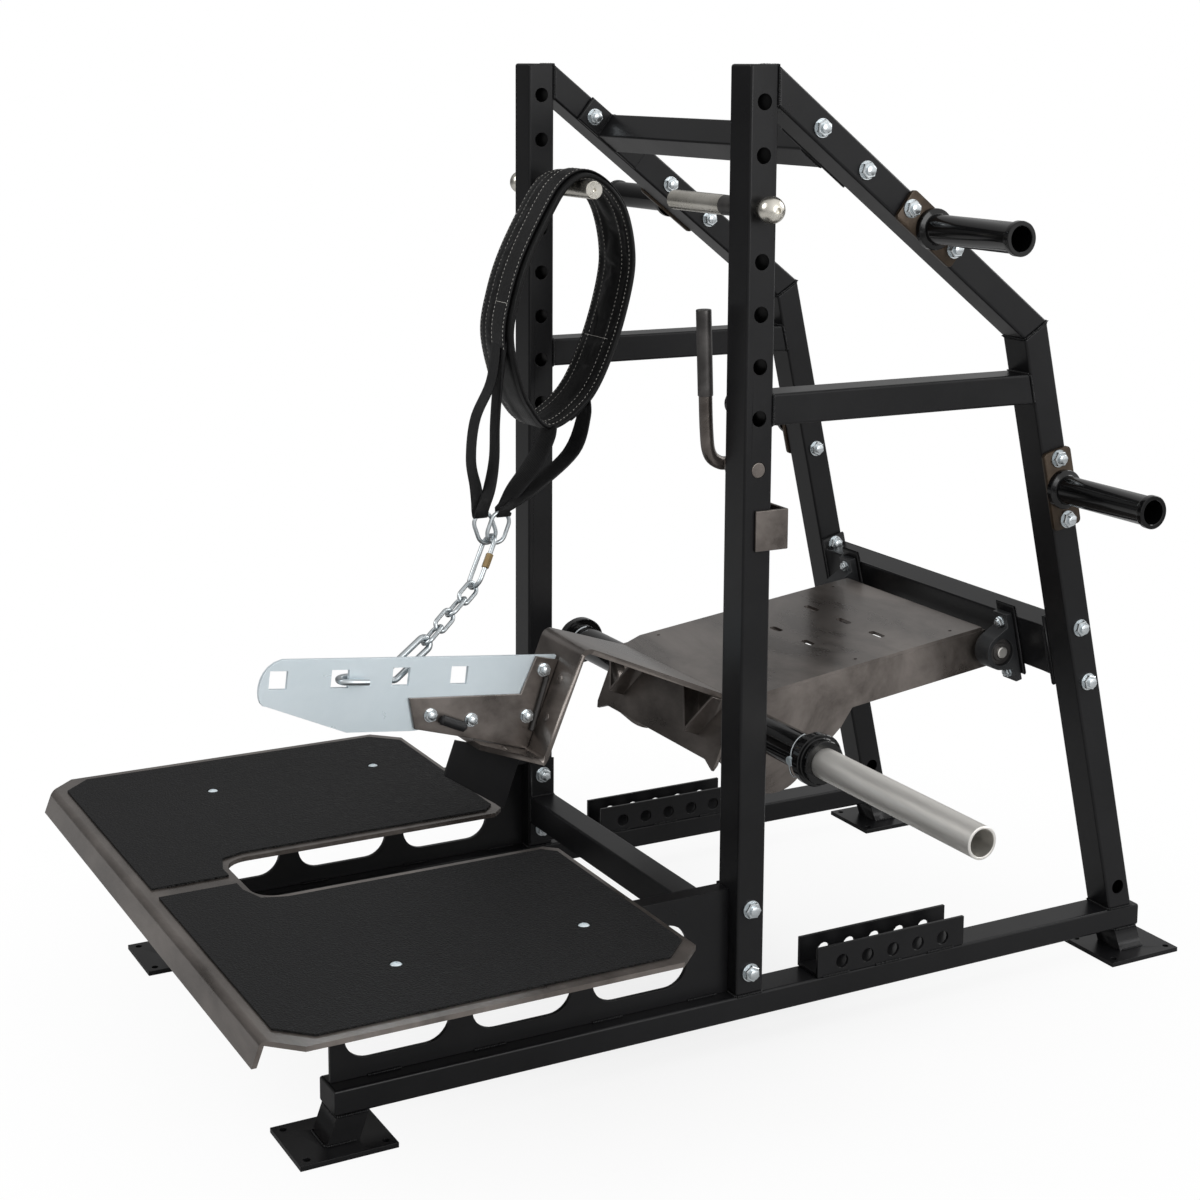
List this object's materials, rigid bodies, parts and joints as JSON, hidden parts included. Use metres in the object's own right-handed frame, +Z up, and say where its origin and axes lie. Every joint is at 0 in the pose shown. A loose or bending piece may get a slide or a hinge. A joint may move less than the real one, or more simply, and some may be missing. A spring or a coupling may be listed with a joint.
{
  "type": "belt squat machine",
  "caption": "Plate-loaded belt squat machine: steel side frames, a foot deck with a slot, a hinged lever arm with a plate sleeve, a release lever, and a padded belt on a chain.",
  "frame": {"origin": "on the floor, under the middle of the machine's box, which the plate sleeve on the right side makes wider than the frame", "axes": "+X runs across the machine to its right-hand side, +Y from the foot deck to the rear legs, +Z up"},
  "size_m": [1.469, 1.753, 1.556],
  "materials": {
    "frame_coat": "satin black powder coat",
    "horn_coat": "gloss black",
    "raw_plate": "bare plate under clear coat, heat tinted",
    "rubber_mat": "fine grain",
    "zinc_plate": "bright zinc",
    "bright_steel": "turned and brushed",
    "bearing_housing": "painted casting",
    "webbing": "woven nylon"
  },
  "bodies": {
    "frame": {"rail_left": "frame_coat", "foot_front_left": "frame_coat", "foot_rear_left": "frame_coat", "upright_left": "frame_coat", "sloping_tube_left": "frame_coat", "rear_leg_left": "frame_coat", "side_brace_left": "frame_coat", "side_plate_left": "frame_coat", "peg_channel_left": "frame_coat", "upper_horn_left": "horn_coat", "lower_horn_left": "horn_coat", "mat_left": "rubber_mat", "hand_peg_left": "bright_steel", "bearing_left": "bright_steel", "pillow_block_left": "bearing_housing", "rail_right": "frame_coat", "foot_front_right": "frame_coat", "foot_rear_right": "frame_coat", "upright_right": "frame_coat", "sloping_tube_right": "frame_coat", "rear_leg_right": "frame_coat", "side_brace_right": "frame_coat", "side_plate_right": "frame_coat", "peg_channel_right": "frame_coat", "upper_horn_right": "horn_coat", "lower_horn_right": "horn_coat", "mat_right": "rubber_mat", "hand_peg_right": "bright_steel", "bearing_right": "bright_steel", "pillow_block_right": "bearing_housing", "top_beam": "frame_coat", "rear_beam": "frame_coat", "low_beam": "frame_coat", "deck": "raw_plate", "belt_ring_front": "zinc_plate", "belt_ring_rear": "zinc_plate", "quick_link": "zinc_plate", "chain_link_1": "zinc_plate", "chain_link_2": "zinc_plate", "chain_link_3": "zinc_plate", "chain_link_4": "zinc_plate", "belt": "webbing"},
    "lever": {"sleeve_socket_left": "horn_coat", "arm_side_left": "raw_plate", "sleeve_socket_right": "horn_coat", "arm_side_right": "raw_plate", "stop_fin": "frame_coat", "arm_top": "raw_plate", "arm_front": "raw_plate", "arm_nose": "raw_plate", "tongue_bracket": "raw_plate", "pivot_shaft": "bright_steel", "sleeve_right": "bright_steel", "tongue": "zinc_plate", "hook": "zinc_plate"},
    "release": {"release_handle": "raw_plate", "release_saddle": "raw_plate"},
    "hitch_left": {"hitch_pin_left": "zinc_plate"},
    "hitch_right": {"hitch_pin_right": "zinc_plate"}
  },
  "joints": [
    {"name": "lever_hinge", "type": "hinge", "parent": "frame", "child": "lever", "pos_m": [-0.0995, 0.6031, 0.5398], "axis": [-1, 0, 0], "range_deg": [0, 35], "deforming": ["quick_link", "chain_link_1", "chain_link_2", "chain_link_3", "chain_link_4"]},
    {"name": "release_hinge", "type": "hinge", "parent": "frame", "child": "release", "pos_m": [0.2765, -0.0015, 0.94], "axis": [1, 0, 0], "range_deg": [0, 25]},
    {"name": "hitch_slide_left", "type": "slide", "parent": "lever", "child": "hitch_left", "axis": [0, -0.9921, -0.1253], "range_m": [0, 0.035]},
    {"name": "hitch_slide_right", "type": "slide", "parent": "lever", "child": "hitch_right", "axis": [0, -0.9921, -0.1253], "range_m": [0, 0.035]}
  ]
}
